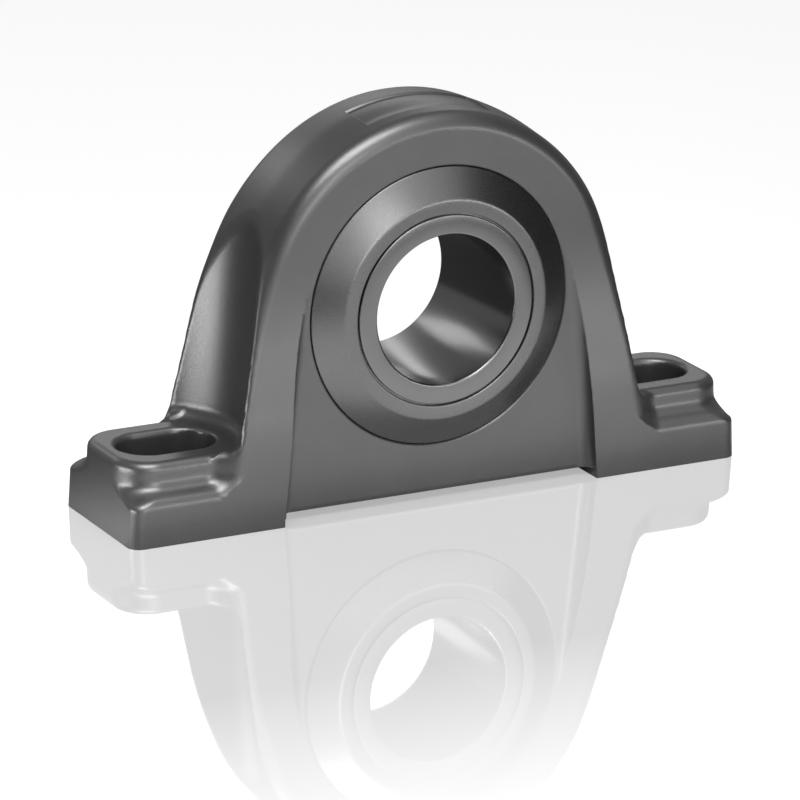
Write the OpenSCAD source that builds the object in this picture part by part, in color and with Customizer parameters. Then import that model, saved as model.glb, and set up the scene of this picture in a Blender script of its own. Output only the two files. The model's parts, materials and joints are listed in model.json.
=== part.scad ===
// Self-aligning pillow block with a plain bushing, for a 1 1/2 inch shaft.
// Millimetres. X runs along the base, Y along the shaft (front is -Y), Z is up.
// The origin is the middle of the footprint, on the surface that the feet stand on.

/* [Shaft and bushing] */
// Bore of the bushing
bore_d = 38.1; // [30:0.1:42]
// Wall of the bushing
bushing_wall = 5.4; // [3:0.1:6]
// Length of the bushing, flush with both faces of the ball
bushing_l = 38.4; // [32:0.2:44]
// Chamfer at both ends of the bore
bore_chamfer = 0.6; // [0.2:0.1:1]
// Chamfer on the bushing's outer edges
bushing_chamfer = 0.4; // [0.2:0.1:0.8]

/* [Alignment ball] */
// Diameter of the ball
ball_d = 76.8; // [75:0.1:79]
// Diameter of the flat ring on each face of the ball
ball_face_d = 55.6; // [52:0.2:60]
// Slope of the cone between the flat ring and the sphere, from the face
ball_cone_angle = 27; // [20:1:35]
// Chamfer where the ball's hole takes the bushing
ball_hole_chamfer = 0.3; // [0.1:0.1:0.6]
// Radial clearance between the ball and its seat
seat_clearance = 0.05; // [0.02:0.01:0.1]

/* [Anti-rotation pin] */
// Diameter of the pin
pin_d = 4.76; // [3:0.01:6]
// Length of the pin
pin_l = 12; // [9:0.5:13]
// How far the pin stands out of the ball
pin_reach = 3; // [2:0.1:4]
// Chamfer on the pin's ends
pin_chamfer = 0.4; // [0.2:0.1:0.8]
// Radial clearance of the pin in the ball
pin_clearance = 0.05; // [0.02:0.01:0.1]
// Clearance of the pin in its groove, on each side and above
groove_clearance = 0.3; // [0.1:0.05:0.5]
// Tilt of the shaft that the groove allows, each way
tilt_limit = 5; // [2:0.5:6]

/* [Housing] */
// Height of the shaft's centre above the base
centre_h = 49.6; // [46:0.1:54]
// Height of the arch above the shaft's centre
crown_h = 49.6; // [47:0.1:53]
// Outer radius of the arch
arch_r = 50.7; // [48:0.1:54]
// Lean of the flanks from the vertical
flank_lean = 15; // [10:0.5:18]
// Width across the faces at the bearing
body_w = 31.2; // [28:0.2:34]
// Round on the edges of the arch and the legs
edge_r = 4.2; // [2:0.1:5]
// Diameter of the opening round the ball
opening_d = 70.8; // [69:0.1:71]
// Chamfer at the rim of the opening
opening_chamfer = 0.3; // [0.2:0.1:1]
// Play of the ball's faces in the loading notches, on each side
notch_play = 0.3; // [0.1:0.1:0.6]

/* [Panel between the legs] */
// Distance of the legs' inner edges from the middle, at the base
panel_base_x = 43.8; // [40:0.2:46]
// Distance of the legs' inner edges from the middle, where they fade out
panel_top_x = 38.4; // [37:0.2:40]
// Round in the corner between the panel and each leg
panel_fillet = 3; // [1.5:0.1:3.5]
// Relief of the underside between the legs
relief_h = 2.1; // [1:0.1:3]

/* [Base] */
// Length of the base
base_l = 169.6; // [164:0.2:176]
// Width of the base
base_w = 39.4; // [37:0.2:42]
// Height of the base's upright sides
slab_h = 10.1; // [8:0.1:11]
// Corner radius of the base, seen from above
slab_corner_r = 3.5; // [2:0.1:5]
// Round over the long edges of the base
shoulder_r = 2.2; // [1:0.1:2.4]

/* [Bolt bosses] */
// Height of the bosses
boss_h = 19.5; // [17:0.1:21]
// Width of the bosses
boss_w = 30.4; // [28:0.2:32]
// Corner radius of the bosses, seen from above
boss_corner_r = 6; // [4:0.1:7]
// Round on the top edge of the bosses
boss_edge_r = 1.2; // [0.6:0.1:1.6]
// Fillet at the foot of the bosses
boss_fillet = 2; // [1:0.1:2.2]
// Land between each bolt slot and the end of the base
slot_land = 5.4; // [4:0.1:8]
// Width of the bolt slots
slot_w = 16; // [14:0.1:17]
// Length of the bolt slots
slot_l = 25.4; // [23:0.1:27]
// Round on the lips of the bolt slots
slot_lip_r = 1; // [0.5:0.1:1.5]
// Radius of the flutes that clear the bolt heads, about the slots' middles
flute_r = 20; // [18:0.1:21]
// Round at the foot of the flutes
flute_fillet = 3; // [1:0.1:4]

/* [Hidden] */
$fn = 96;

// Overrun of a cut past the face that it opens
over = 1;
// How far a flank is tucked in behind the arch, and how far the arch's edge round overlaps
// the leg's, so that their surfaces cross instead of just touching
tuck = 0.01;
overlap_angle = 0.5;

bushing_r = bore_d / 2 + bushing_wall;
ball_r = ball_d / 2;
seat_r = ball_r + seat_clearance;
ball_half = bushing_l / 2;
opening_r = opening_d / 2;
pin_top = ball_r + pin_reach;

// Places on the outline of the arch
arch_z = centre_h + crown_h - arch_r;
tangent_x = arch_r * cos(flank_lean);
tangent_z = arch_z + arch_r * sin(flank_lean);
foot_x = tangent_x + tangent_z * tan(flank_lean);

// The legs widen from the body's width at the tangent down to the base's width at the slab
leg_lean = atan((base_w - body_w) / 2 / (tangent_z - slab_h));
edge_tilt = atan(tan(leg_lean) * cos(flank_lean));
edge_skew = asin(sin(leg_lean) * sin(flank_lean));
edge_run = tangent_z / cos(flank_lean) / cos(edge_tilt) + edge_r;

panel_lean = atan((panel_base_x - panel_top_x) / tangent_z);
// Bolt slots and the middle of the one at +X
slot_half = (slot_l - slot_w) / 2;
bolt_spacing = base_l - 2 * slot_land - slot_l;
bolt_x = bolt_spacing / 2;
// The feet start inside the legs
foot_start_x = panel_base_x + panel_fillet;
ledge_h = slab_h + shoulder_r;

// Lays a shape drawn in X and Z down along the shaft
module along_shaft(width) {
    rotate([90, 0, 0])
        linear_extrude(width, center = true)
            children();
}

// Puts a copy at each end of the base
module both_ends() {
    children();
    mirror([1, 0, 0]) children();
}

// Puts a copy on the front and on the back
module both_faces() {
    children();
    mirror([0, 1, 0]) children();
}

// Section of what a round takes off a corner at the origin; skew turns the second face
module corner_waste(r, skew = 0) {
    centre = [-r, -r * (1 - sin(skew)) / cos(skew)];
    second_normal = [sin(skew), cos(skew)];
    touch = centre + r * second_normal;
    difference() {
        polygon([
            centre,
            [over, centre.y],
            [over, over],
            touch + over * second_normal,
            touch
        ]);
        translate(centre) circle(r);
    }
}

// Front outline of the arch and its flanks
module arch_outline() {
    translate([0, arch_z]) circle(arch_r);
    polygon([
        [-foot_x + tuck, 0],
        [foot_x - tuck, 0],
        [tangent_x - tuck, tangent_z],
        [-tangent_x + tuck, tangent_z]
    ]);
}

// Side outline of the body, upright at the bearing and widening down the legs
module side_outline() {
    polygon([
        [-base_w / 2, 0],
        [base_w / 2, 0],
        [base_w / 2, slab_h],
        [body_w / 2, tangent_z],
        [body_w / 2, arch_z + arch_r + over],
        [-body_w / 2, arch_z + arch_r + over],
        [-body_w / 2, tangent_z],
        [-base_w / 2, slab_h]
    ]);
}

// Waste of the round over the arch's front edge
module arch_edge_waste() {
    translate([0, 0, arch_z])
        rotate([90, 0, 0])
            rotate([0, 0, flank_lean - overlap_angle])
                rotate_extrude(angle = 180 - 2 * (flank_lean - overlap_angle))
                    translate([arch_r, body_w / 2])
                        corner_waste(edge_r);
}

// Waste of the round down the front edge of the leg at +X
module leg_edge_waste() {
    translate([tangent_x, -body_w / 2, tangent_z])
        rotate([0, -flank_lean, 0])
            intersection() {
                rotate([-edge_tilt, 0, 0])
                    translate([0, 0, -edge_run])
                        linear_extrude(edge_run + over)
                            mirror([0, 1]) corner_waste(edge_r, edge_skew);
                translate([-3 * edge_r, -3 * edge_r - base_w, -2 * edge_run])
                    cube([6 * edge_r, 6 * edge_r + 2 * base_w, 2 * edge_run]);
            }
}

// Everything in front of the panel's plane and inside the inner edge of the leg at +X
module beside_leg() {
    depth = (base_w - body_w) / 2 + over;
    reach = 2 * (panel_base_x + over);
    overrun = reach * sin(panel_lean) + over;
    translate([panel_base_x, -body_w / 2, 0])
        rotate([0, -panel_lean, 0])
            translate([0, 0, -overrun])
                linear_extrude(tangent_z + 2 * overrun)
                    difference() {
                        translate([-reach, -depth]) square([reach, depth]);
                        corner_waste(panel_fillet);
                    }
}

// Waste in front of the panel, with a round along each leg
module panel_waste() {
    intersection() {
        beside_leg();
        mirror([1, 0, 0]) beside_leg();
    }
}

// Waste of one flute: an upright cylinder with a rounded foot, standing on the boss
module flute_waste() {
    translate([bolt_x, 0, boss_h])
        rotate_extrude() {
            square([flute_r - flute_fillet, tangent_z + arch_r]);
            translate([0, flute_fillet])
                square([flute_r, tangent_z + arch_r]);
            intersection() {
                translate([flute_r - flute_fillet, flute_fillet]) circle(flute_fillet);
                square([flute_r, flute_fillet]);
            }
        }
}

// The arch with its legs, before the bearing is machined into it
module arch_body() {
    difference() {
        intersection() {
            along_shaft(base_w + 2 * over) arch_outline();
            rotate([90, 0, 90])
                linear_extrude(2 * foot_x + 2 * over, center = true) side_outline();
        }
        both_faces() {
            arch_edge_waste();
            both_ends() leg_edge_waste();
            panel_waste();
        }
        both_ends() flute_waste();
    }
}

// Sweeps a profile, drawn outwards and upwards from a corner's centre, round a foot at +X
module round_the_foot(width, corner_r) {
    corner_x = base_l / 2 - corner_r;
    corner_y = width / 2 - corner_r;
    both_faces()
        translate([corner_x, -corner_y, 0]) {
            rotate([90, 0, -90])
                linear_extrude(corner_x - foot_start_x) children();
            rotate([0, 0, -90])
                rotate_extrude(angle = 90) children();
        }
    translate([corner_x, 0, 0])
        rotate([90, 0, 0])
            linear_extrude(2 * corner_y, center = true) children();
}

// Plan of a foot at +X, open towards the leg
module foot_plan(width, corner_r) {
    translate([foot_start_x, -width / 2])
        square([base_l / 2 - corner_r - foot_start_x, width]);
    translate([foot_start_x, -width / 2 + corner_r])
        square([base_l / 2 - foot_start_x, width - 2 * corner_r]);
    for (side = [-1, 1])
        translate([base_l / 2 - corner_r, side * (width / 2 - corner_r)])
            circle(corner_r);
}

// Base under one boss, its long top edges rounded
module foot_slab() {
    intersection() {
        linear_extrude(ledge_h) foot_plan(base_w, slab_corner_r);
        rotate([90, 0, 90])
            linear_extrude(base_l)
                difference() {
                    translate([-base_w / 2, 0]) square([base_w, ledge_h]);
                    translate([base_w / 2, ledge_h]) corner_waste(shoulder_r);
                    mirror([1, 0])
                        translate([base_w / 2, ledge_h]) corner_waste(shoulder_r);
                }
    }
}

// Raised pad that a bolt's washer bears on, with a rounded top edge
module boss() {
    translate([foot_start_x, -boss_w / 2 + boss_corner_r, 0])
        cube([
            base_l / 2 - boss_corner_r - foot_start_x,
            boss_w - 2 * boss_corner_r,
            boss_h
        ]);
    round_the_foot(boss_w, boss_corner_r)
        difference() {
            square([boss_corner_r, boss_h]);
            translate([boss_corner_r, boss_h]) corner_waste(boss_edge_r);
        }
}

// Fillet in the corner between the boss and the base
module boss_foot_fillet() {
    intersection() {
        linear_extrude(boss_h) foot_plan(base_w, slab_corner_r);
        round_the_foot(boss_w, boss_corner_r)
            difference() {
                translate([boss_corner_r - over, ledge_h - over])
                    square(boss_fillet + over);
                translate([boss_corner_r + boss_fillet, ledge_h + boss_fillet])
                    circle(boss_fillet);
            }
    }
}

// The foot at +X
module foot() {
    foot_slab();
    boss();
    boss_foot_fillet();
}

// Waste of the bolt slot at +X, with a round on its upper lip
module slot_waste() {
    translate([bolt_x, 0, 0]) {
        translate([-slot_half, -slot_w / 2, -over])
            cube([2 * slot_half, slot_w, boss_h + 2 * over]);
        for (side = [-1, 1]) {
            translate([side * slot_half, 0, -over])
                cylinder(d = slot_w, h = boss_h + 2 * over);
            translate([side * slot_half, 0, 0])
                rotate([0, 0, -side * 90])
                    rotate_extrude(angle = 180) slot_lip_waste();
            translate([side * slot_half, 0, 0])
                rotate([90, 0, side * 90])
                    translate([0, 0, -2 * slot_half])
                        linear_extrude(2 * slot_half) slot_lip_waste();
        }
    }
}

// Section of the round on a slot's lip, drawn outwards from the slot's middle
module slot_lip_waste() {
    translate([slot_w / 2, boss_h])
        mirror([1, 0]) corner_waste(slot_lip_r);
}

// Waste of the bearing seat: opening, chamfered rims, sphere, loading notches and pin groove
module seat_waste() {
    notch_half = ball_half + notch_play;
    groove_r = pin_top + groove_clearance;
    groove_half_w = pin_d / 2 + groove_clearance;
    groove_front = pin_top * sin(tilt_limit) + pin_d / 2 + groove_clearance;
    translate([0, 0, centre_h]) {
        rotate([90, 0, 0]) cylinder(r = opening_r, h = base_w, center = true);
        sphere(seat_r);
        both_faces()
            translate([0, -body_w / 2 + opening_chamfer, 0])
                rotate([90, 0, 0])
                    cylinder(
                        r1 = opening_r, r2 = opening_r + opening_chamfer + over,
                        h = opening_chamfer + over
                    );
        // The ball goes in from the back with its bore upright, between these two notches
        intersection() {
            rotate([-90, 0, 0]) cylinder(r = seat_r, h = base_w);
            translate([-seat_r - over, 0, -notch_half])
                cube([2 * (seat_r + over), base_w, 2 * notch_half]);
        }
        // The pin swings in along this groove as the ball is turned level
        intersection() {
            rotate([0, 90, 0]) cylinder(r = groove_r, h = 2 * groove_half_w, center = true);
            translate([-groove_half_w - over, -groove_front, opening_r / 2])
                cube([2 * (groove_half_w + over), groove_front + base_w, groove_r]);
        }
    }
}

// One-piece cast housing
module housing() {
    color("dimgray")
        difference() {
            union() {
                arch_body();
                both_ends() foot();
            }
            both_ends() slot_waste();
            translate([-panel_base_x, -base_w / 2 - over, -over])
                cube([2 * panel_base_x, base_w + 2 * over, relief_h + over]);
            seat_waste();
        }
}

// Ball that carries the bushing and tilts in the housing's seat
module alignment_ball() {
    face_r = ball_face_d / 2;
    cone_drop = (ball_r - face_r) * tan(ball_cone_angle);
    color("slategray")
        translate([0, 0, centre_h])
            difference() {
                rotate([90, 0, 0])
                    rotate_extrude()
                        intersection() {
                            circle(ball_r);
                            polygon([
                                [bushing_r, -ball_half + ball_hole_chamfer],
                                [bushing_r + ball_hole_chamfer, -ball_half],
                                [face_r, -ball_half],
                                [ball_r, -ball_half + cone_drop],
                                [ball_r + over, 0],
                                [ball_r, ball_half - cone_drop],
                                [face_r, ball_half],
                                [bushing_r + ball_hole_chamfer, ball_half],
                                [bushing_r, ball_half - ball_hole_chamfer]
                            ]);
                        }
                translate([0, 0, pin_top - pin_l - pin_clearance])
                    cylinder(d = pin_d + 2 * pin_clearance, h = pin_l);
            }
}

// Plain bushing pressed into the ball
module bushing() {
    bore_r = bore_d / 2;
    color("silver")
        translate([0, 0, centre_h])
            rotate([90, 0, 0])
                rotate_extrude()
                    polygon([
                        [bore_r, -ball_half + bore_chamfer],
                        [bore_r + bore_chamfer, -ball_half],
                        [bushing_r - bushing_chamfer, -ball_half],
                        [bushing_r, -ball_half + bushing_chamfer],
                        [bushing_r, ball_half - bushing_chamfer],
                        [bushing_r - bushing_chamfer, ball_half],
                        [bore_r + bore_chamfer, ball_half],
                        [bore_r, ball_half - bore_chamfer]
                    ]);
}

// Dowel that stands in the ball and runs in the housing's groove
module anti_rotation_pin() {
    pin_r = pin_d / 2;
    color("gainsboro")
        translate([0, 0, centre_h + pin_top - pin_l])
            rotate_extrude()
                polygon([
                    [0, 0],
                    [pin_r - pin_chamfer, 0],
                    [pin_r, pin_chamfer],
                    [pin_r, pin_l - pin_chamfer],
                    [pin_r - pin_chamfer, pin_l],
                    [0, pin_l]
                ]);
}

housing();
alignment_ball();
bushing();
anti_rotation_pin();
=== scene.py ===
import json
import math

import bmesh
import bpy
import numpy as np
from mathutils import Matrix, Vector


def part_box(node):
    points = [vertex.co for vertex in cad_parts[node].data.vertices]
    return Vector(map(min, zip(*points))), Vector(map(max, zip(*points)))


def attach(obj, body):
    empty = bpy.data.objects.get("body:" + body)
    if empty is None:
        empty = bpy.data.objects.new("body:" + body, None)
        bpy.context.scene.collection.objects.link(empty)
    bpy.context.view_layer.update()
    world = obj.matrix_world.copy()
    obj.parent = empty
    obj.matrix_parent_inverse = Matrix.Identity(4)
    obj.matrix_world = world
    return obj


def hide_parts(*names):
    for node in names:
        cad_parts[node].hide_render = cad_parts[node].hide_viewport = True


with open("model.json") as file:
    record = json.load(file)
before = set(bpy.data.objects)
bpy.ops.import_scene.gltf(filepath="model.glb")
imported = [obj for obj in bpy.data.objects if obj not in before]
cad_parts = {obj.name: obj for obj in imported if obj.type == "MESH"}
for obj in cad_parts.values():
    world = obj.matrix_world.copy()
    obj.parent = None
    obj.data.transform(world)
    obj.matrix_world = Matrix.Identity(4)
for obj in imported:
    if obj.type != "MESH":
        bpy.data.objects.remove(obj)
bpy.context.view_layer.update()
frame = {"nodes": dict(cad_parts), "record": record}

MM = 0.001

# Sizes in millimetres. The interfaces and the outer sizes come from the frame.
MOUNTS = {m["name"]: m for m in frame["record"]["mounts"]}
BORE_R = MOUNTS["shaft_bore"]["dims"]["r_mm"]
CENTRE_H = MOUNTS["shaft_bore"]["pos_m"][2] / MM
BOLT_X = MOUNTS["foot_bolts"]["dims"]["spacing_x_mm"] / 2
SLOT_R = MOUNTS["foot_bolts"]["dims"]["hole_r_mm"]
SLOT_HALF = MOUNTS["foot_bolts"]["dims"]["slot_length_mm"] / 2 - SLOT_R
LOW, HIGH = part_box("housing")
BASE_HALF_L = HIGH.x / MM
BASE_HALF_W = HIGH.y / MM
BUSHING_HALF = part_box("bushing")[1].y / MM
BUSHING_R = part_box("bushing")[1].x / MM
BALL_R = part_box("alignment_ball")[1].x / MM

# Arch and legs; the outline shrinks from the parting line towards both faces
ARCH_R = 50.8
ARCH_Z = 48.2
FLANK_LEAN = math.radians(21.8)
FLANK_R = 220.0
FRONT_DRAFT = math.radians(5.6)
BACK_DRAFT = math.radians(3.8)
PARTING_ROUND = 3.0
BODY_HALF_W = 15.6
BACK_HALF_W = 17.8
BACK_TOP_HALF_W = 14.5
BACK_THINS_Z = (50, 85)
FLARE_TOP_Z = 54.0
FLARE_FOOT_Z = 21.0
FLARE_BLEND = 1.2
WIDTH_BLEND = 0.8
EDGE_R = 4.8
CROWN_EDGE_R = 3.8
EDGE_SHRINKS_Z = (50, 80)

# Bearing seat
OPENING_R = 35.4
OPENING_CHAMFER = 0.35
SEAT_R = BALL_R + 0.15
SEAT_MIDDLE_ANGLE = 0.05
NOTCH_HALF = BUSHING_HALF + 0.3
GROOVE_HALF_W = 2.68
GROOVE_FRONT = 6.3
GROOVE_R = BALL_R + 3.3

# Shallow strip on top of the arch, its floor drafted as the arch is
STRIP_DEPTH = 0.55
STRIP_BACK_Y = 3.3
STRIP_FRONT_Y = -7.0
STRIP_FADE_Y = -11.0
STRIP_FADE_RISE = 0.6
STRIP_ROWS_Y = (STRIP_FADE_Y, STRIP_FRONT_Y, -5.0, -3.0, -1.5, 0.0, 1.5, STRIP_BACK_Y)
STRIP_WALL_LEAN = 2.4
STRIP_HALF_ANGLE = math.radians(19.7)

# Panel between the legs
PANEL_BASE_X = 43.8
PANEL_LEAN = math.radians(5.04)
PANEL_FILLET = 3.0
PANEL_RUN_OUT_Z = (FLARE_TOP_Z - 4, FLARE_TOP_Z + 10)
PANEL_END_Z = FLARE_TOP_Z + 2
PANEL_END_SLOPE = 0.1
RELIEF_H = 2.1

# Feet
SLAB_H = 10.1
LEDGE_H = 12.3
SHOULDER_R = 2.8
SLAB_CORNER_R = 3.2
BOSS_H = 19.5
BOSS_HALF_W = 15.2
BOSS_CORNER_R = 9.0
CORNER_GROWS_Z = (SLAB_H - 1, 14)
BOSS_EDGE_R = 2.2
BOSS_FILLET = 3.2
END_DRAFT = math.radians(3)
FOOT_START_X = 50.0
FOOT_BLEND_R = 3.5
FOOT_BLEND_BAND = 1.7
LEAST_ROUND = 0.01
SLOT_LIP_R = 1.4
FLUTE_R = 24.0
FLUTE_WALL_X = 48.3
FLUTE_LEAN = 0.075
FLUTE_FILLET = 3.5
FLUTE_EDGE_R = 1.2
FLUTE_Y = -0.8

# Ball and bushing
FACE_R = 27.8
CONE_SLOPE = math.radians(27)
BALL_RIM_R = 0.25
FACE_EDGE_R = 2.2
CONE_EDGE_R = 0.3
BORE_EDGE_R = 0.5
PARTING_WIDTH = 0.5
PARTING_DEPTH = 1.0
PARTING_EDGE_R = 0.2

# Fineness of the meshes, the hole the housing's mesh leaves for the seat, and the cutters
CELL = 0.75
MARGIN = 1.7
TURNS = 256
SHARP = math.radians(28)
ROUGH_HOLE_R = 33.0
CUT_REACH = 25.0
CUT_SLACK = 0.2
CUT_OVERLAP = 2.0


# Distance fields: negative inside, in millimetres

def round_union(a, b, r):
    """Union of two distances with a fillet of radius r in the corner."""
    u = np.maximum(r - a, 0)
    v = np.maximum(r - b, 0)
    return np.maximum(r, np.minimum(a, b)) - np.sqrt(u * u + v * v)


def round_cut(a, b, r):
    """Intersection of two distances with a round of radius r on the edge."""
    u = np.maximum(r + a, 0)
    v = np.maximum(r + b, 0)
    return np.minimum(-r, np.maximum(a, b)) + np.sqrt(u * u + v * v)


def soft_min(a, b, k):
    """The smaller of two distances, blended over a band k wide."""
    h = np.maximum(k - np.abs(a - b), 0) / k
    return np.minimum(a, b) - h * h * k / 4


def smooth_step(low, high, t):
    """0 below low, 1 above high and an S curve between them."""
    s = np.clip((t - low) / (high - low), 0, 1)
    return s * s * (3 - 2 * s)


def crown(y):
    """Distance from the parting line, rounded off at the middle."""
    return np.sqrt(y * y + PARTING_ROUND ** 2) - PARTING_ROUND


def arch_field(ax, y, z):
    """The arch and the gently bowed flanks tangent to it, drafted towards the faces."""
    cosine, sine = math.cos(FLANK_LEAN), math.sin(FLANK_LEAN)
    up = z - ARCH_Z
    back = FLANK_R - ARCH_R
    on_arch = up * cosine - ax * sine > 0
    arch = np.hypot(ax, up) - ARCH_R
    flank = np.hypot(ax + back * cosine, up + back * sine) - FLANK_R
    draft = np.where(y < 0, FRONT_DRAFT, BACK_DRAFT)
    return np.where(on_arch, arch, flank) * np.cos(draft) + crown(y) * np.sin(draft)


def half_width(y, z):
    """Half width of the upright body: the back thins towards the top."""
    back = BACK_HALF_W + (BACK_TOP_HALF_W - BACK_HALF_W) * smooth_step(*BACK_THINS_Z, z)
    return np.where(y > 0, back, BODY_HALF_W)


def face_field(y, z):
    """Front and back faces: upright at the bearing, flaring to the base's width."""
    ay = np.abs(y)
    lean = math.atan((BASE_HALF_W - BODY_HALF_W) / (FLARE_TOP_Z - FLARE_FOOT_Z))
    upright = ay - half_width(y, z)
    flare = (ay - BASE_HALF_W) * math.cos(lean) + (z - FLARE_FOOT_Z) * math.sin(lean)
    narrower = soft_min(upright, flare, FLARE_BLEND)
    return -soft_min(-narrower, BASE_HALF_W - ay, WIDTH_BLEND)


def panel_field(ax, y, z):
    """The space in front of the panel and behind it, between the legs."""
    beside = (ax - PANEL_BASE_X) * math.cos(PANEL_LEAN) + z * math.sin(PANEL_LEAN)
    run_out = smooth_step(*PANEL_RUN_OUT_Z, z)
    floor = BODY_HALF_W + (half_width(y, z) - BODY_HALF_W) * run_out
    floor = floor + PANEL_END_SLOPE * np.maximum(z - PANEL_END_Z, 0)
    return round_cut(beside, floor - np.abs(y), PANEL_FILLET)


def foot_field(ax, ay, z):
    """One foot: slab with rounded shoulders and the bolt boss on it."""
    slab = round_cut(ay - BASE_HALF_W, z - LEDGE_H, SHOULDER_R)
    side = round_union(slab, ay - BOSS_HALF_W, BOSS_FILLET)
    grown = smooth_step(*CORNER_GROWS_Z, z)
    corner_r = SLAB_CORNER_R + (BOSS_CORNER_R - SLAB_CORNER_R) * grown
    end = (ax - BASE_HALF_L) * math.cos(END_DRAFT) + z * math.sin(END_DRAFT)
    plan = round_cut(side, end, corner_r)
    return np.maximum(round_cut(plan, z - BOSS_H, BOSS_EDGE_R), FOOT_START_X - ax)


def flute_field(ax, y, z):
    """The leaning hollow in the flank that clears the bolt's head."""
    middle = FLUTE_WALL_X + FLUTE_R - FLUTE_LEAN * (z - BOSS_H)
    return round_cut(np.hypot(ax - middle, y - FLUTE_Y) - FLUTE_R, BOSS_H - z, FLUTE_FILLET)


def slot_field(ax, y):
    """The bolt slot, seen from above."""
    return np.hypot(np.maximum(np.abs(ax - BOLT_X) - SLOT_HALF, 0), y) - SLOT_R


def housing_field(x, y, z):
    """The casting, with a rough hole for the bearing."""
    ax, ay = np.abs(x), np.abs(y)
    edge_r = EDGE_R + (CROWN_EDGE_R - EDGE_R) * smooth_step(*EDGE_SHRINKS_Z, z)
    body = round_cut(arch_field(ax, y, z), face_field(y, z), edge_r)
    body = round_cut(body, -flute_field(ax, y, z), FLUTE_EDGE_R)
    body = np.maximum(body, -panel_field(ax, y, z))
    near = smooth_step(BOSS_HALF_W - FOOT_BLEND_BAND, BOSS_HALF_W, ay)
    body = round_union(body, foot_field(ax, ay, z), LEAST_ROUND + FOOT_BLEND_R * near)
    body = np.maximum(body, ay - BASE_HALF_W)
    body = round_cut(body, -slot_field(ax, y), SLOT_LIP_R)
    body = np.maximum(body, ROUGH_HOLE_R - np.hypot(ax, z - CENTRE_H))
    relief = np.maximum(ax - PANEL_BASE_X, z - RELIEF_H)
    return np.maximum(body, np.maximum(-z, -relief))


# Meshing

def crossing_points(field, start, end, f_start, f_end):
    """Where the field is zero on each segment, by four steps of false position."""
    for _ in range(4):
        t = (f_start / (f_start - f_end))[:, None]
        point = start + np.clip(t, 0.02, 0.98) * (end - start)
        value = field(point[:, 0], point[:, 1], point[:, 2])
        low = (value < 0) == (f_start < 0)
        start = np.where(low[:, None], point, start)
        f_start = np.where(low, value, f_start)
        end = np.where(low[:, None], end, point)
        f_end = np.where(low, f_end, value)
    t = (f_start / (f_start - f_end))[:, None]
    return start + t * (end - start)


def field_normals(field, points):
    """Unit gradients of the field by central differences."""
    reach = 0.01
    parts = []
    for axis in range(3):
        shift = np.zeros(3)
        shift[axis] = reach
        ahead, behind = points + shift, points - shift
        parts.append(field(*ahead.T) - field(*behind.T))
    normals = np.stack(parts, 1)
    return normals / np.maximum(np.linalg.norm(normals, axis=1), 1e-9)[:, None]


def contour(field, low, high, cell, calm=0.03, leeway=0.1):
    """Dual contour of a field: a quad mesh whose vertices sit on its edges and corners.

    calm pulls each vertex towards the middle of its cell's crossings, and leeway is how far
    it may lie outside its cell.
    """
    counts = np.ceil((high - low) / cell).astype(int) + 1
    axes = [low[a] + cell * np.arange(counts[a]) for a in range(3)]
    values = field(*np.meshgrid(*axes, indexing="ij", sparse=True))
    values = np.broadcast_to(values, counts)
    points, normals, cells, quads = [], [], [], []
    total = 0
    for axis in range(3):
        near = [slice(None)] * 3
        far = [slice(None)] * 3
        near[axis], far[axis] = slice(None, -1), slice(1, None)
        f_near, f_far = values[tuple(near)], values[tuple(far)]
        index = np.argwhere((f_near < 0) != (f_far < 0))
        start = low + cell * index
        end = start.copy()
        end[:, axis] += cell
        f_start, f_end = f_near[tuple(index.T)], f_far[tuple(index.T)]
        found = crossing_points(field, start, end, f_start, f_end)
        points.append(found)
        normals.append(field_normals(field, found))
        one, two = (axis + 1) % 3, (axis + 2) % 3
        ring = []
        for step_one, step_two in ((-1, -1), (0, -1), (0, 0), (-1, 0)):
            at = index.copy()
            at[:, one] += step_one
            at[:, two] += step_two
            ring.append((at[:, 0] * counts[1] + at[:, 1]) * counts[2] + at[:, 2])
        ring = np.stack(ring, 1)
        ring[f_start >= 0] = ring[f_start >= 0][:, ::-1]
        quads.append(ring)
        cells.append(np.stack([ring.ravel(), np.repeat(np.arange(len(found)) + total, 4)], 1))
        total += len(found)
    points, normals = np.concatenate(points), np.concatenate(normals)
    cells, quads = np.concatenate(cells), np.concatenate(quads)
    ids, owner = np.unique(cells[:, 0], return_inverse=True)
    p, n = points[cells[:, 1]], normals[cells[:, 1]]
    amount = np.bincount(owner)

    def gather(weights):
        return np.bincount(owner, weights, len(ids))

    middle = np.stack([gather(p[:, a]) / amount for a in range(3)], 1)
    offset = np.einsum("ij,ij->i", n, p - middle[owner])
    pull = np.stack([gather(n[:, a] * offset) for a in range(3)], 1)
    matrix = np.zeros((len(ids), 3, 3))
    for a in range(3):
        for b in range(3):
            matrix[:, a, b] = gather(n[:, a] * n[:, b])
    matrix += calm * np.eye(3)
    vertex = middle + np.linalg.solve(matrix, pull[:, :, None])[:, :, 0]
    corner = np.stack(np.unravel_index(ids, counts), 1) * cell + low
    vertex = np.clip(vertex, corner - leeway * cell, corner + (1 + leeway) * cell)
    return vertex, np.searchsorted(ids, quads)


def new_object(name, points, faces, material):
    """A mesh object from points in millimetres."""
    mesh = bpy.data.meshes.new(name)
    mesh.from_pydata((np.asarray(points) * MM).tolist(), [], np.asarray(faces).tolist())
    mesh.materials.append(material)
    piece = bpy.data.objects.new(name, mesh)
    bpy.context.scene.collection.objects.link(piece)
    soften(piece)
    return piece


def soften(piece):
    """Smooth shading but for sharp edges."""
    piece.data.shade_smooth()
    piece.data.set_sharp_from_angle(angle=SHARP)


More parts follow.
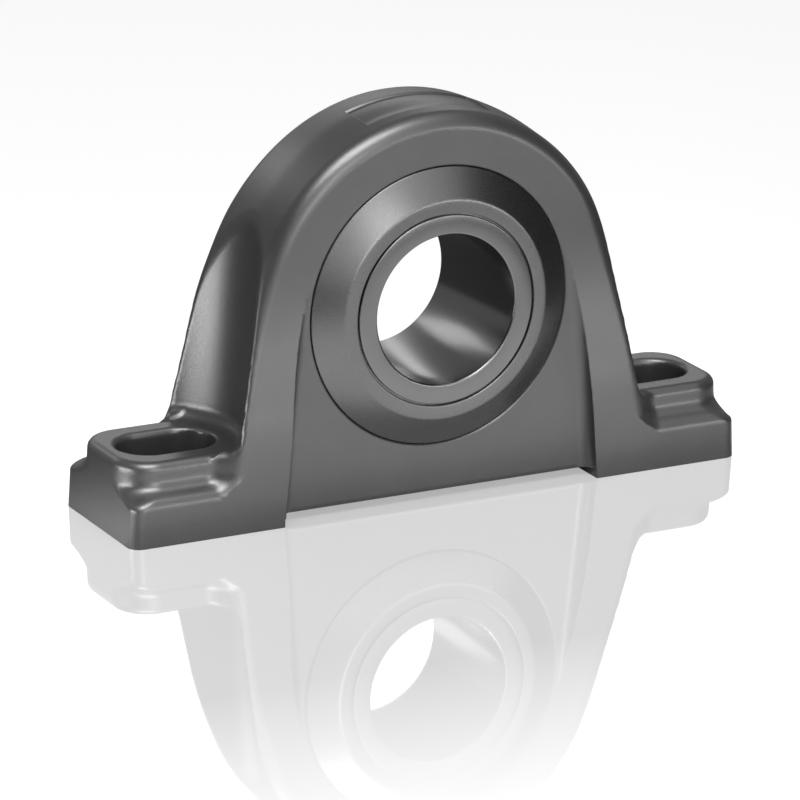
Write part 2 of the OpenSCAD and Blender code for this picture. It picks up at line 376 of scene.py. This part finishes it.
def shade_from_field(piece, field, reach=0.15, least=0.9):
    """Takes the shading from the field's gradient where vertices lie within reach of the field.

    Corners whose face leans away from the gradient, below the least cosine, keep their own.
    """
    mesh = piece.data
    points = np.empty(3 * len(mesh.vertices))
    mesh.vertices.foreach_get("co", points)
    points = points.reshape(-1, 3) / MM
    on_field = np.abs(field(*points.T)) < reach
    slopes = field_normals(field, points)
    owner = np.empty(len(mesh.loops), dtype=int)
    mesh.loops.foreach_get("vertex_index", owner)
    corners = np.empty(3 * len(mesh.loops))
    mesh.corner_normals.foreach_get("vector", corners)
    corners = corners.reshape(-1, 3)
    flat = np.empty(3 * len(mesh.polygons))
    mesh.polygons.foreach_get("normal", flat)
    sizes = np.empty(len(mesh.polygons), dtype=int)
    mesh.polygons.foreach_get("loop_total", sizes)
    flat = np.repeat(flat.reshape(-1, 3), sizes, axis=0)
    along = np.einsum("ij,ij->i", slopes[owner], flat)
    use = on_field[owner] & (along > least)
    mesh.normals_split_custom_set(np.where(use[:, None], slopes[owner], corners).tolist())


def revolve(profile, turns):
    """Points and quads of a closed profile (radius, along the shaft) turned about the shaft."""
    count = len(profile)
    angle = np.linspace(0, 2 * math.pi, turns, endpoint=False)
    radius, along = np.array(profile).T
    points = np.stack([
        np.outer(np.cos(angle), radius),
        np.outer(np.ones(turns), along),
        np.outer(np.sin(angle), radius) + CENTRE_H
    ], 2).reshape(-1, 3)
    step, slot = np.divmod(np.arange(turns * count), count)
    following = (slot + 1) % count
    onward = (step + 1) % turns
    quads = np.stack([
        step * count + slot,
        step * count + following,
        onward * count + following,
        onward * count + slot
    ], 1)
    return points, quads


def prism(outline, low, high):
    """Points and faces of an outline of (a, b) swept from low to high along a third axis."""
    count = len(outline)
    points = [(a, b, low) for a, b in outline] + [(a, b, high) for a, b in outline]
    faces = [list(range(count))[::-1], list(range(count, 2 * count))]
    faces += [
        [i, (i + 1) % count, (i + 1) % count + count, i + count] for i in range(count)
    ]
    return np.array(points), faces


def carve(piece, cutters):
    """Cuts closed shapes, given as points in millimetres and faces, out of a piece."""
    tools = []
    for points, faces in cutters:
        mesh = bpy.data.meshes.new("cutter")
        mesh.from_pydata((points * MM).tolist(), [], [list(f) for f in faces])
        solid = bmesh.new()
        solid.from_mesh(mesh)
        bmesh.ops.recalc_face_normals(solid, faces=solid.faces)
        solid.to_mesh(mesh)
        solid.free()
        tool = bpy.data.objects.new("cutter", mesh)
        bpy.context.scene.collection.objects.link(tool)
        cut = piece.modifiers.new("cut", "BOOLEAN")
        cut.operation = "DIFFERENCE"
        cut.solver = "EXACT"
        cut.object = tool
        tools.append(tool)
    depsgraph = bpy.context.evaluated_depsgraph_get()
    carved = bpy.data.meshes.new_from_object(piece.evaluated_get(depsgraph))
    piece.modifiers.clear()
    piece.data = carved
    for tool in tools:
        mesh = tool.data
        bpy.data.objects.remove(tool)
        bpy.data.meshes.remove(mesh)


def rounded(corners, facets=5):
    """A closed outline from (radius, along, round) corners, each turned into an arc."""
    outline = []
    count = len(corners)
    for i, (x, y, r) in enumerate(corners):
        here = np.array([x, y])
        before = np.array(corners[i - 1][:2]) - here
        after = np.array(corners[(i + 1) % count][:2]) - here
        if r <= 0:
            outline.append(here)
            continue
        before /= np.linalg.norm(before)
        after /= np.linalg.norm(after)
        half = math.acos(float(np.clip(before @ after, -1, 1))) / 2
        bisector = (before + after) / np.linalg.norm(before + after)
        centre = here + bisector * r / math.sin(half)
        first = here + before * r / math.tan(half) - centre
        last = here + after * r / math.tan(half) - centre
        sweep = math.atan2(first[0] * last[1] - first[1] * last[0], first @ last)
        for k in range(facets + 1):
            c, s = math.cos(sweep * k / facets), math.sin(sweep * k / facets)
            outline.append(centre + [c * first[0] - s * first[1], s * first[0] + c * first[1]])
    return outline


# Shapes that are cut from the housing, in millimetres

def seat_outline():
    """The bearing's seat and its two openings, as (radius, along the shaft)."""
    sphere_end = math.acos(OPENING_R / SEAT_R)
    hole_r = ROUGH_HOLE_R - CUT_OVERLAP
    rim_r = OPENING_R + OPENING_CHAMFER + CUT_SLACK
    outline = [(hole_r, -CUT_REACH), (hole_r, CUT_REACH)]
    for side in (1, -1):
        half = [
            (rim_r, CUT_REACH * side),
            (rim_r, (BODY_HALF_W + CUT_SLACK) * side),
            (OPENING_R, (BODY_HALF_W - OPENING_CHAMFER) * side)
        ]
        half += [
            (SEAT_R * math.cos(t), SEAT_R * math.sin(t) * side)
            for t in np.linspace(sphere_end, SEAT_MIDDLE_ANGLE, 9)
        ]
        outline += half if side > 0 else half[::-1]
    return outline


def notch(side):
    """The hollow on one side of the back opening through which the ball is put in."""
    reach = math.asin(NOTCH_HALF / SEAT_R)
    inner_x = (ROUGH_HOLE_R - CUT_OVERLAP) * 0.8 * side
    outline = [
        (SEAT_R * math.cos(t) * side, SEAT_R * math.sin(t) + CENTRE_H)
        for t in np.linspace(-reach, reach, 25)
    ]
    outline += [(inner_x, CENTRE_H + NOTCH_HALF), (inner_x, CENTRE_H - NOTCH_HALF)]
    points, faces = prism(outline, 0.0, CUT_REACH)
    return points[:, [0, 2, 1]], faces


def pin_groove():
    """The groove in the top of the seat that takes the pin's end."""
    inner_z = CENTRE_H + ROUGH_HOLE_R - 3
    outline = [
        (y, CENTRE_H + math.sqrt(GROOVE_R ** 2 - y * y))
        for y in np.linspace(-GROOVE_FRONT, CUT_REACH, 25)
    ]
    outline += [(CUT_REACH, inner_z), (-GROOVE_FRONT, inner_z)]
    points, faces = prism(outline, -GROOVE_HALF_W, GROOVE_HALF_W)
    return points[:, [2, 0, 1]], faces


def strip():
    """The strip's hollow: its floor follows the drafted arch and comes out of it in front."""
    steps = 48
    points, faces = [], []
    for y in STRIP_ROWS_Y:
        draft = math.tan(FRONT_DRAFT if y < 0 else BACK_DRAFT)
        depth = STRIP_DEPTH if y > STRIP_FADE_Y else -STRIP_FADE_RISE
        floor_r = ARCH_R - crown(y) * draft - depth
        for r, sweep in ((floor_r, 1), (ARCH_R + 2, -1)):
            lean = STRIP_WALL_LEAN if y == STRIP_BACK_Y and sweep < 0 else 0
            for t in np.linspace(-STRIP_HALF_ANGLE * sweep, STRIP_HALF_ANGLE * sweep, steps + 1):
                points.append((r * math.sin(t), y + lean, ARCH_Z + r * math.cos(t)))
    ring = 2 * (steps + 1)
    last_row = len(STRIP_ROWS_Y) - 1
    for first in (0, last_row * ring):
        last = first + ring - 1
        faces += [[first + i, first + i + 1, last - 1 - i, last - i] for i in range(steps)]
    for row in range(last_row):
        here, onward = row * ring, (row + 1) * ring
        for i in range(ring):
            j = (i + 1) % ring
            faces.append([here + i, here + j, onward + j, onward + i])
    return np.array(points), faces


# Nodes and materials

GRAIN_DEPTH = 0.0001


def feed(tree, node, inputs):
    """Links outputs to a node's sockets, and sets its other sockets to numbers or colours."""
    for key, value in inputs.items():
        if isinstance(value, bpy.types.NodeSocket):
            tree.links.new(value, node.inputs[key])
        else:
            node.inputs[key].default_value = value


def add_node(tree, kind, inputs):
    """A new node with its sockets fed."""
    node = tree.nodes.new(kind)
    feed(tree, node, inputs)
    return node


def calculate(tree, operation, *values):
    """The result of a math operation on outputs and numbers."""
    node = tree.nodes.new("ShaderNodeMath")
    node.operation = operation
    feed(tree, node, dict(enumerate(values)))
    return node.outputs["Value"]


def mix(tree, kind, factor, first, second):
    """A mix of two numbers (FLOAT) or two colours (RGBA)."""
    node = tree.nodes.new("ShaderNodeMix")
    node.data_type = kind
    feed(tree, node, {"Factor": factor, "A": first, "B": second})
    return node.outputs["Result"]


def spread(tree, value, low, high, out_low, out_high):
    """Maps a value from one range to another, held at both ends."""
    node = add_node(tree, "ShaderNodeMapRange", {
        "Value": value,
        "From Min": low,
        "From Max": high,
        "To Min": out_low,
        "To Max": out_high
    })
    return node.outputs["Result"]


def coordinates(tree, output):
    """X, Y and Z of one of the texture coordinates."""
    place = tree.nodes.new("ShaderNodeTexCoord")
    split = add_node(tree, "ShaderNodeSeparateXYZ", {"Vector": place.outputs[output]})
    return split.outputs["X"], split.outputs["Y"], split.outputs["Z"]


def noise(tree, scale, detail):
    """A noise texture in object space."""
    place = tree.nodes.new("ShaderNodeTexCoord")
    texture = add_node(tree, "ShaderNodeTexNoise", {
        "Vector": place.outputs["Object"],
        "Scale": scale,
        "Detail": detail,
        "Roughness": 0.6
    })
    return texture.outputs["Fac"]


def grey(value):
    """A grey as a colour with alpha."""
    return value, value, value, 1


def material(name, colour, roughness, metallic=0.0):
    """A material with its node tree and its shader."""
    made = bpy.data.materials.new(name)
    made.use_nodes = True
    shader = made.node_tree.nodes["Principled BSDF"]
    feed(made.node_tree, shader, {
        "Base Color": grey(colour),
        "Roughness": roughness,
        "Metallic": metallic
    })
    return made, made.node_tree, shader


def surface(name, colour, blotches, roughness, grain_scale, grain, edge, metallic=1.0):
    """Metal with slight blotches, a fine grain and edges rounded by edge millimetres."""
    made, tree, shader = material(name, colour, roughness, metallic)
    coarse = spread(tree, noise(tree, 28, 5), 0.3, 0.7, 0, 1)
    fine = noise(tree, grain_scale, 3)
    round_edges = add_node(tree, "ShaderNodeBevel", {"Radius": edge * MM})
    round_edges.samples = 4
    bump = add_node(tree, "ShaderNodeBump", {
        "Strength": grain,
        "Distance": GRAIN_DEPTH,
        "Height": fine,
        "Normal": round_edges.outputs["Normal"]
    })
    feed(tree, shader, {
        "Base Color": mix(tree, "RGBA", coarse,
                          grey(colour * (1 - blotches)), grey(colour * (1 + blotches))),
        "Roughness": spread(tree, fine, 0.25, 0.75, roughness - 0.05, roughness + 0.05),
        "Normal": bump.outputs["Normal"]
    })
    return made


CAST = surface("cast_housing", colour=0.15, blotches=0.06, roughness=0.35,
               grain_scale=1700, grain=0.25, edge=0.4, metallic=0.82)
BALL_METAL = surface("turned_ball", colour=0.205, blotches=0.05, roughness=0.3,
                     grain_scale=2600, grain=0.12, edge=0.3)
BUSHING_METAL = surface("turned_bushing", colour=0.24, blotches=0.04, roughness=0.2,
                        grain_scale=2600, grain=0.08, edge=0.3)
PIN_METAL = surface("ground_pin", colour=0.4, blotches=0.03, roughness=0.25,
                    grain_scale=2600, grain=0.05, edge=0.1)

# Housing: the casting, then the bearing's seat and the strip cut into it
low = np.array([-BASE_HALF_L - MARGIN, -BASE_HALF_W - MARGIN, -MARGIN])
high = np.array([BASE_HALF_L + MARGIN, BASE_HALF_W + MARGIN, 2 * CENTRE_H + MARGIN])
housing = new_object("housing_casting", *contour(housing_field, low, high, CELL), CAST)
carve(housing, [revolve(seat_outline(), TURNS), notch(-1), notch(1), pin_groove(), strip()])
soften(housing)
shade_from_field(housing, housing_field)
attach(housing, "housing")
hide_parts("housing")

# Ball: the cone starts at the face's edge and runs out to the sphere
tangent = math.tan(CONE_SLOPE)
half_b = FACE_R - BUSHING_HALF * tangent
gap = BALL_R ** 2 - FACE_R ** 2 - BUSHING_HALF ** 2
cone_run = (math.sqrt(half_b ** 2 + gap * (1 + tangent ** 2)) - half_b) / (1 + tangent ** 2)
cone_r = FACE_R + cone_run
cone_drop = cone_run * tangent
sphere_angle = math.asin((BUSHING_HALF - cone_drop) / BALL_R)
sphere_arc = [
    (BALL_R * math.cos(a), -BALL_R * math.sin(a), 0)
    for a in np.linspace(sphere_angle, -sphere_angle, 41)[1:-1]
]
ball_outline = rounded([
    (BUSHING_R, BUSHING_HALF, BALL_RIM_R),
    (BUSHING_R, -BUSHING_HALF, BALL_RIM_R),
    (FACE_R, -BUSHING_HALF, FACE_EDGE_R),
    (cone_r, -BUSHING_HALF + cone_drop, CONE_EDGE_R),
    *sphere_arc,
    (cone_r, BUSHING_HALF - cone_drop, CONE_EDGE_R),
    (FACE_R, BUSHING_HALF, FACE_EDGE_R)
])
ball = new_object("alignment_ball_turned", *revolve(ball_outline, TURNS), BALL_METAL)
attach(ball, "ball")
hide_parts("alignment_ball")

# Bushing, with the fine groove round each end that parts it from the ball
parting_r = BUSHING_R - PARTING_WIDTH
parting_y = BUSHING_HALF - PARTING_DEPTH
bushing_outline = rounded([
    (BORE_R, BUSHING_HALF, BORE_EDGE_R),
    (BORE_R, -BUSHING_HALF, BORE_EDGE_R),
    (parting_r, -BUSHING_HALF, PARTING_EDGE_R),
    (parting_r, -parting_y, 0),
    (BUSHING_R, -parting_y, 0),
    (BUSHING_R, parting_y, 0),
    (parting_r, parting_y, 0),
    (parting_r, BUSHING_HALF, PARTING_EDGE_R)
])
bushing = new_object("bushing_turned", *revolve(bushing_outline, TURNS), BUSHING_METAL)
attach(bushing, "ball")
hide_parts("bushing")

# The pin keeps the frame's own shape
pin = frame["nodes"]["anti_rotation_pin"]
pin.data.materials.clear()
pin.data.materials.append(PIN_METAL)

# Camera: place and turn fitted to the photograph, in bore radii from the shaft's centre
VIEW_AZIMUTH = math.radians(28.37)
VIEW_ELEVATION = math.radians(17.93)
VIEW_ROLL = math.radians(1.07)
FOCAL_PIXELS = 5200
FRAME_PIXELS = 800
CENTRE_IN_CAMERA = Vector((0.1255, 1.436, 67.47))
ca, sa = math.cos(VIEW_AZIMUTH), math.sin(VIEW_AZIMUTH)
ce, se = math.cos(VIEW_ELEVATION), math.sin(VIEW_ELEVATION)
level_right = Vector((ca, -sa, 0))
level_up = Vector((sa * se, ca * se, ce))
forward = Vector((sa * ce, ca * ce, -se))
right = level_right * math.cos(VIEW_ROLL) + level_up * math.sin(VIEW_ROLL)
up = level_up * math.cos(VIEW_ROLL) - level_right * math.sin(VIEW_ROLL)
turn = Matrix((right, up, -forward)).transposed()
shaft_centre = Vector((0, 0, CENTRE_H * MM))
offset = right * CENTRE_IN_CAMERA.x + up * CENTRE_IN_CAMERA.y + forward * CENTRE_IN_CAMERA.z
camera_data = bpy.data.cameras.new("camera")
camera_data.sensor_width = 36
camera_data.lens = FOCAL_PIXELS / FRAME_PIXELS * camera_data.sensor_width
camera_data.clip_start = 0.05
camera_data.clip_end = 50
camera = bpy.data.objects.new("camera", camera_data)
camera.matrix_world = Matrix.Translation(shaft_centre - offset * BORE_R * MM) @ turn.to_4x4()
bpy.context.scene.collection.objects.link(camera)
bpy.context.scene.camera = camera


# Stage and light

def area_light(name, place, aim, size, power):
    """A soft rectangular lamp at a place, turned to the point it aims at."""
    data = bpy.data.lights.new(name, "AREA")
    data.shape = "RECTANGLE"
    data.size, data.size_y = size
    data.energy = power
    lamp = bpy.data.objects.new(name, data)
    lamp.location = place
    lamp.rotation_mode = "QUATERNION"
    lamp.rotation_quaternion = (Vector(aim) - Vector(place)).to_track_quat("-Z", "Y")
    bpy.context.scene.collection.objects.link(lamp)


BODY_MIDDLE = (0, 0, 0.045)
FLANK_MIDDLE = (0, 0, 0.06)
area_light("overhead", (-0.15, -0.3, 0.75), BODY_MIDDLE, (0.5, 0.4), 4)
area_light("front", (-0.03, -0.95, 0.34), BODY_MIDDLE, (0.3, 0.55), 1.5)
area_light("front_right_low", (0.35, -0.62, 0.05), BODY_MIDDLE, (0.4, 0.1), 0.5)
area_light("back", (-0.26, 0.84, 0.49), BODY_MIDDLE, (0.34, 0.2), 0.32)
area_light("left_low", (-0.2, -0.005, 0.012), FLANK_MIDDLE, (0.1, 0.08), 0.15)

# The room, by direction: white to the camera. To the object it is dim in front, dark at both
# sides, and behind it is bright at the right only, in a band above the horizon
WHITE = grey(1)
IN_FRONT = 0.8
OUTSIDE_BAND = 0.25
world = bpy.data.worlds.new("studio")
bpy.context.scene.world = world
world.use_nodes = True
tree = world.node_tree
x, y, z = coordinates(tree, "Generated")
sides = spread(tree, calculate(tree, "ABSOLUTE", x), 0.5, 0.64, 1, 0.04)
behind = spread(tree, x, -0.05, 0.3, 0.35, 1.7)
backwards = spread(tree, y, -0.1, 0.3, 0, 1)
room = calculate(tree, "MULTIPLY", mix(tree, "FLOAT", backwards, IN_FRONT, behind), sides)
above = spread(tree, z, 0.38, 0.46, 0, 1)
below = spread(tree, z, 0.2, 0.3, 1, 0)
off_band = calculate(tree, "MULTIPLY", calculate(tree, "MAXIMUM", above, below), backwards)
room = mix(tree, "FLOAT", off_band, room, OUTSIDE_BAND)
path = tree.nodes.new("ShaderNodeLightPath")
feed(tree, tree.nodes["Background"], {
    "Color": WHITE,
    "Strength": mix(tree, "FLOAT", path.outputs["Is Camera Ray"], room, 1.0)
})

# The floor as the object sees it: pale close in front, with painted shade beside, beyond and far
# ahead of it, and a painted contact shadow in a band just in front of the base
FLOOR_HALF = 3.0
PALE, PAINTED_SHADE = grey(0.95), grey(0.04)
floor_material, tree, shader = material("floor", 0.5, 0.6)
x, y, _ = coordinates(tree, "Object")
sideways = calculate(tree, "ABSOLUTE", x)
# Painted shade in the floor's colour: dark beside the object, behind it and far ahead of it
painted_floor_shade = spread(tree, sideways, 0.1, 0.16, 0, 1)
# Painted contact shadow: the floor darkened in a band just in front of the base
from_foot = calculate(tree, "ABSOLUTE", calculate(tree, "ADD", y, 0.026))
for part in (
    spread(tree, y, 0.0, 0.05, 0, 1),
    spread(tree, y, -0.3, -0.1, 0.75, 0),
    spread(tree, from_foot, 0.008, 0.014, 0.7, 0)
):
    painted_floor_shade = calculate(tree, "MAXIMUM", painted_floor_shade, part)
feed(tree, shader, {"Base Color": mix(tree, "RGBA", painted_floor_shade, PALE, PAINTED_SHADE)})

# The floor as the camera sees it: white, a little shaded in the gap under the panel, with a
# pale mirror image that fades out in front and behind, and when it is seen from above
GLOW, GLOW_IN_GAP = 0.75, 0.69
MIRROR = 0.4
from_gap = calculate(tree, "ABSOLUTE", calculate(tree, "ADD", y, 0.0155))
strength = calculate(
    tree, "MAXIMUM",
    spread(tree, from_gap, 0.005, 0.0065, GLOW_IN_GAP, GLOW),
    spread(tree, sideways, 0.045, 0.06, GLOW_IN_GAP, GLOW)
)
glow = add_node(tree, "ShaderNodeEmission", {"Color": WHITE, "Strength": strength})
shade = add_node(tree, "ShaderNodeBsdfDiffuse", {"Color": grey(0.3)})
lit = add_node(tree, "ShaderNodeAddShader", {
    0: glow.outputs["Emission"],
    1: shade.outputs["BSDF"]
})
mirror = add_node(tree, "ShaderNodeBsdfGlossy", {"Color": WHITE, "Roughness": 0.03})
grazing = tree.nodes.new("ShaderNodeLayerWeight")
fade = calculate(
    tree, "MULTIPLY",
    calculate(
        tree, "MINIMUM",
        spread(tree, y, -0.22, -0.115, 0, MIRROR),
        spread(tree, y, 0.03, 0.12, MIRROR, 0.03)
    ),
    spread(tree, grazing.outputs["Facing"], 0.35, 0.65, 0.1, 1)
)
sheen = add_node(tree, "ShaderNodeMixShader", {
    0: fade,
    1: lit.outputs["Shader"],
    2: mirror.outputs["BSDF"]
})
path = tree.nodes.new("ShaderNodeLightPath")
both = add_node(tree, "ShaderNodeMixShader", {
    0: path.outputs["Is Camera Ray"],
    1: shader.outputs["BSDF"],
    2: sheen.outputs["Shader"]
})
feed(tree, tree.nodes["Material Output"], {"Surface": both.outputs["Shader"]})
floor_mesh = bpy.data.meshes.new("floor")
floor_mesh.from_pydata(
    [(x, y, 0) for x, y in ((-1, -1), (1, -1), (1, 1), (-1, 1))], [], [(0, 1, 2, 3)]
)
floor_mesh.transform(Matrix.Scale(FLOOR_HALF, 4))
floor_mesh.materials.append(floor_material)
floor = bpy.data.objects.new("floor", floor_mesh)
bpy.context.scene.collection.objects.link(floor)

bpy.context.scene.view_settings.view_transform = "Standard"
